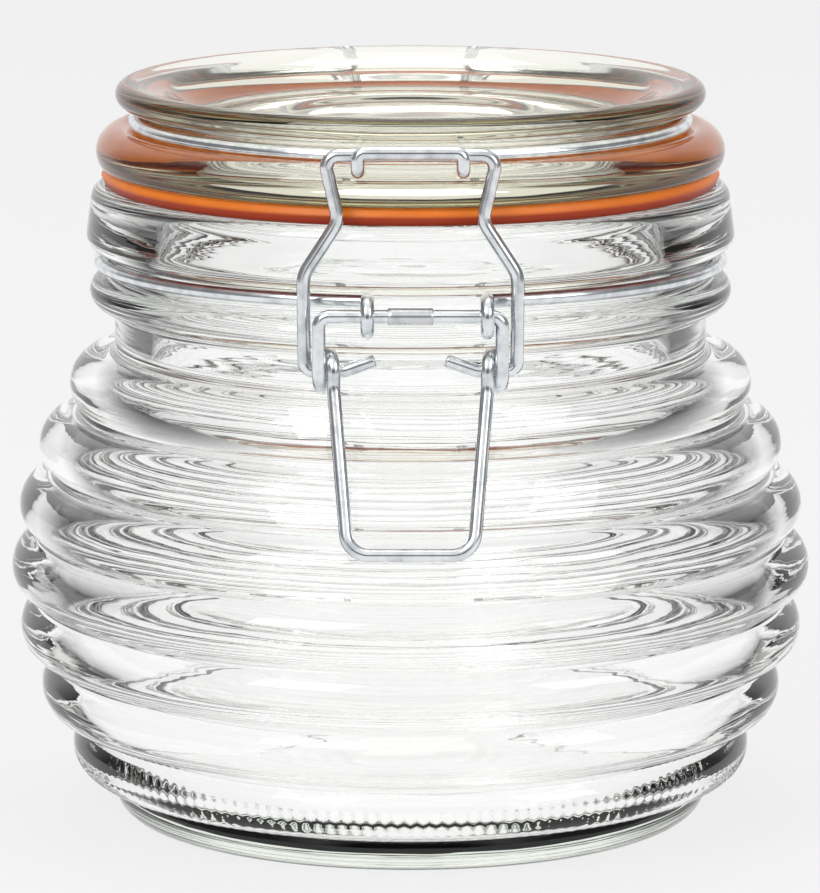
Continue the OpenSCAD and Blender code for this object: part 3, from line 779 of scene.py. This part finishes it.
@dataclass
class Studio:
    """Pale floor, white surround, soft lamps and the camera."""

    backdrop: str = "#F6F6F6"
    floor_half_m: float = 4.0
    aim_z: float = 56.2
    aim_x: float = -0.08
    distance: float = 965.6
    elevation: float = 10.65
    half_width_tan: float = 410 / 6230
    flag_grey: float = 0.02
    flag_start: float = 0.48
    flag_full: float = 0.82
    back_light: float = 1.16
    room_strength: float = 0.55
    room_grey: float = 0.10

    def build(self) -> None:
        """Set the camera, world, floor and lamps."""
        scene = bpy.context.scene
        scene.view_settings.view_transform = "Standard"
        self.camera(scene)
        self.world(scene)
        self.floor(scene)
        self.lamp(scene, "key_lamp", Vector((-0.55, -0.75, 0.85)), 0.55, 4.2)
        self.lamp(scene, "fill_lamp", Vector((0.75, -0.55, 0.55)), 0.45, 1.8)
        self.lamp(scene, "top_lamp", Vector((0.0, 0.25, 1.1)), 0.7, 3.2)

    def camera(self, scene: bpy.types.Scene) -> None:
        """Place the camera in front, a little above."""
        data = bpy.data.cameras.new("camera")
        data.sensor_fit = "HORIZONTAL"
        data.sensor_width = 36.0
        data.lens = 18.0 / self.half_width_tan
        data.clip_end = 20.0
        camera = bpy.data.objects.new("camera", data)
        tilt = math.radians(self.elevation)
        aim = Vector((self.aim_x, 0, self.aim_z)) * MM
        camera.location = aim + Vector((0, -math.cos(tilt), math.sin(tilt))) * self.distance * MM
        camera.rotation_euler = (aim - camera.location).to_track_quat("-Z", "Y").to_euler()
        scene.collection.objects.link(camera)
        scene.camera = camera

    def world(self, scene: bpy.types.Scene) -> None:
        """White surround; glass and metal also see grey flags at the sides, which draw their edges."""
        world = bpy.data.worlds.new("surround")
        scene.world = world
        world.use_nodes = True
        tree = world.node_tree
        tree.nodes.clear()
        place = add_node(tree, "ShaderNodeTexCoord")
        split = add_node(tree, "ShaderNodeSeparateXYZ", {0: place.outputs["Generated"]})
        sideways = add_node(tree, "ShaderNodeMath", {0: split.outputs["X"]}, operation="ABSOLUTE")
        flag = add_node(tree, "ShaderNodeMapRange", {
            "Value": sideways.outputs[0], "From Min": self.flag_start, "From Max": self.flag_full,
            "To Min": self.back_light, "To Max": self.flag_grey})
        soft_flag = add_node(tree, "ShaderNodeMapRange", {
            "Value": sideways.outputs[0], "From Min": 0.55, "From Max": 0.8, "To Min": 1.0, "To Max": 0.25})
        # the room behind the camera is dark, up to the height of a window: a dark stripe down each wire
        ahead = add_node(tree, "ShaderNodeMapRange", {
            "Value": split.outputs["Y"], "From Min": -0.92, "From Max": -0.78, "To Min": 1.0, "To Max": 0.0})
        steep = add_node(tree, "ShaderNodeMath", {0: split.outputs["Z"]}, operation="ABSOLUTE")
        low = add_node(tree, "ShaderNodeMapRange", {
            "Value": steep.outputs[0], "From Min": 0.28, "From Max": 0.42, "To Min": 1.0, "To Max": 0.0})
        room_dark = add_node(tree, "ShaderNodeMath", {
            0: ahead.outputs[0], 1: low.outputs[0]}, operation="MULTIPLY")
        lit = add_node(tree, "ShaderNodeMapRange", {
            "Value": room_dark.outputs[0], "To Min": 1.0, "To Max": self.room_grey})
        mirrored_light = add_node(tree, "ShaderNodeMath", {
            0: soft_flag.outputs[0], 1: lit.outputs[0]}, operation="MULTIPLY")
        path = add_node(tree, "ShaderNodeLightPath")
        white = linear(self.backdrop)
        through = add_node(tree, "ShaderNodeBackground", {"Color": white, "Strength": flag.outputs[0]})
        mirror = add_node(tree, "ShaderNodeBackground", {"Color": white, "Strength": mirrored_light.outputs[0]})
        plain = add_node(tree, "ShaderNodeBackground", {"Color": white, "Strength": 1.0})
        room = add_node(tree, "ShaderNodeBackground", {"Color": white, "Strength": self.room_strength})
        shiny = add_node(tree, "ShaderNodeMixShader", {
            0: path.outputs["Is Glossy Ray"], 1: room.outputs[0], 2: mirror.outputs[0]})
        glass = add_node(tree, "ShaderNodeMixShader", {
            0: path.outputs["Is Transmission Ray"], 1: shiny.outputs[0], 2: through.outputs[0]})
        both = add_node(tree, "ShaderNodeMixShader", {
            0: path.outputs["Is Camera Ray"], 1: glass.outputs[0], 2: plain.outputs[0]})
        add_node(tree, "ShaderNodeOutputWorld", {"Surface": both.outputs[0]})

    def floor(self, scene: bpy.types.Scene) -> None:
        """Lay a pale floor that looks like the surround and keeps a soft shadow."""
        mesh = bmesh.new()
        bmesh.ops.create_grid(mesh, x_segments=1, y_segments=1, size=self.floor_half_m,
                              matrix=Matrix.Translation((0, 0, -0.00005)))
        data = bpy.data.meshes.new("floor")
        mesh.to_mesh(data)
        mesh.free()
        floor = bpy.data.objects.new("floor", data)
        scene.collection.objects.link(floor)
        material = bpy.data.materials.new("pale_floor")
        material.use_nodes = True
        tree = material.node_tree
        tree.nodes.clear()
        white = linear(self.backdrop)
        path = add_node(tree, "ShaderNodeLightPath")
        seen = add_node(tree, "ShaderNodeMath", {
            0: path.outputs["Is Glossy Ray"], 1: path.outputs["Is Transmission Ray"]}, operation="MAXIMUM")
        every = add_node(tree, "ShaderNodeMath", {
            0: seen.outputs[0], 1: path.outputs["Is Camera Ray"]}, operation="MAXIMUM")
        share = add_node(tree, "ShaderNodeMath", {0: every.outputs[0], 1: 0.86}, operation="MULTIPLY")
        paint = add_node(tree, "ShaderNodeBsdfDiffuse", {"Color": white})
        # what the glass sees of the floor falls off to the sides, as past the edge of a light table
        place = add_node(tree, "ShaderNodeTexCoord")
        split = add_node(tree, "ShaderNodeSeparateXYZ", {0: place.outputs["Object"]})
        sideways = add_node(tree, "ShaderNodeMath", {0: split.outputs["X"]}, operation="ABSOLUTE")
        fall = add_node(tree, "ShaderNodeMapRange", {
            "Value": sideways.outputs[0], "From Min": 0.10, "From Max": 0.26, "To Min": self.back_light,
            "To Max": self.flag_grey})
        beyond = add_node(tree, "ShaderNodeMath", {
            0: fall.outputs[0], 1: path.outputs["Is Transmission Ray"]}, operation="MULTIPLY")
        direct = add_node(tree, "ShaderNodeMath", {0: 1.0, 1: path.outputs["Is Transmission Ray"]}, operation="SUBTRACT")
        level = add_node(tree, "ShaderNodeMath", {0: beyond.outputs[0], 1: direct.outputs[0]}, operation="ADD")
        glow = add_node(tree, "ShaderNodeEmission", {"Color": white, "Strength": level.outputs[0]})
        both = add_node(tree, "ShaderNodeMixShader", {0: share.outputs[0], 1: paint.outputs[0], 2: glow.outputs[0]})
        add_node(tree, "ShaderNodeOutputMaterial", {"Surface": both.outputs[0]})
        data.materials.append(material)

    def lamp(self, scene: bpy.types.Scene, name: str, place: Vector, size: float, watts: float) -> None:
        """Add a soft square lamp aimed at the jar."""
        data = bpy.data.lights.new(name, "AREA")
        data.shape = "SQUARE"
        data.size = size
        data.energy = watts
        lamp = bpy.data.objects.new(name, data)
        lamp.location = place
        lamp.rotation_euler = (Vector((0, 0, 0.06)) - place).to_track_quat("-Z", "Y").to_euler()
        scene.collection.objects.link(lamp)


def main() -> None:
    """Build every piece."""
    Studio().build()
    GlassJar().build()
    GlassLid().build()
    RubberRing().build()
    WireWork().build()
    bpy.context.view_layer.update()


if __name__ == "__main__":
    main()
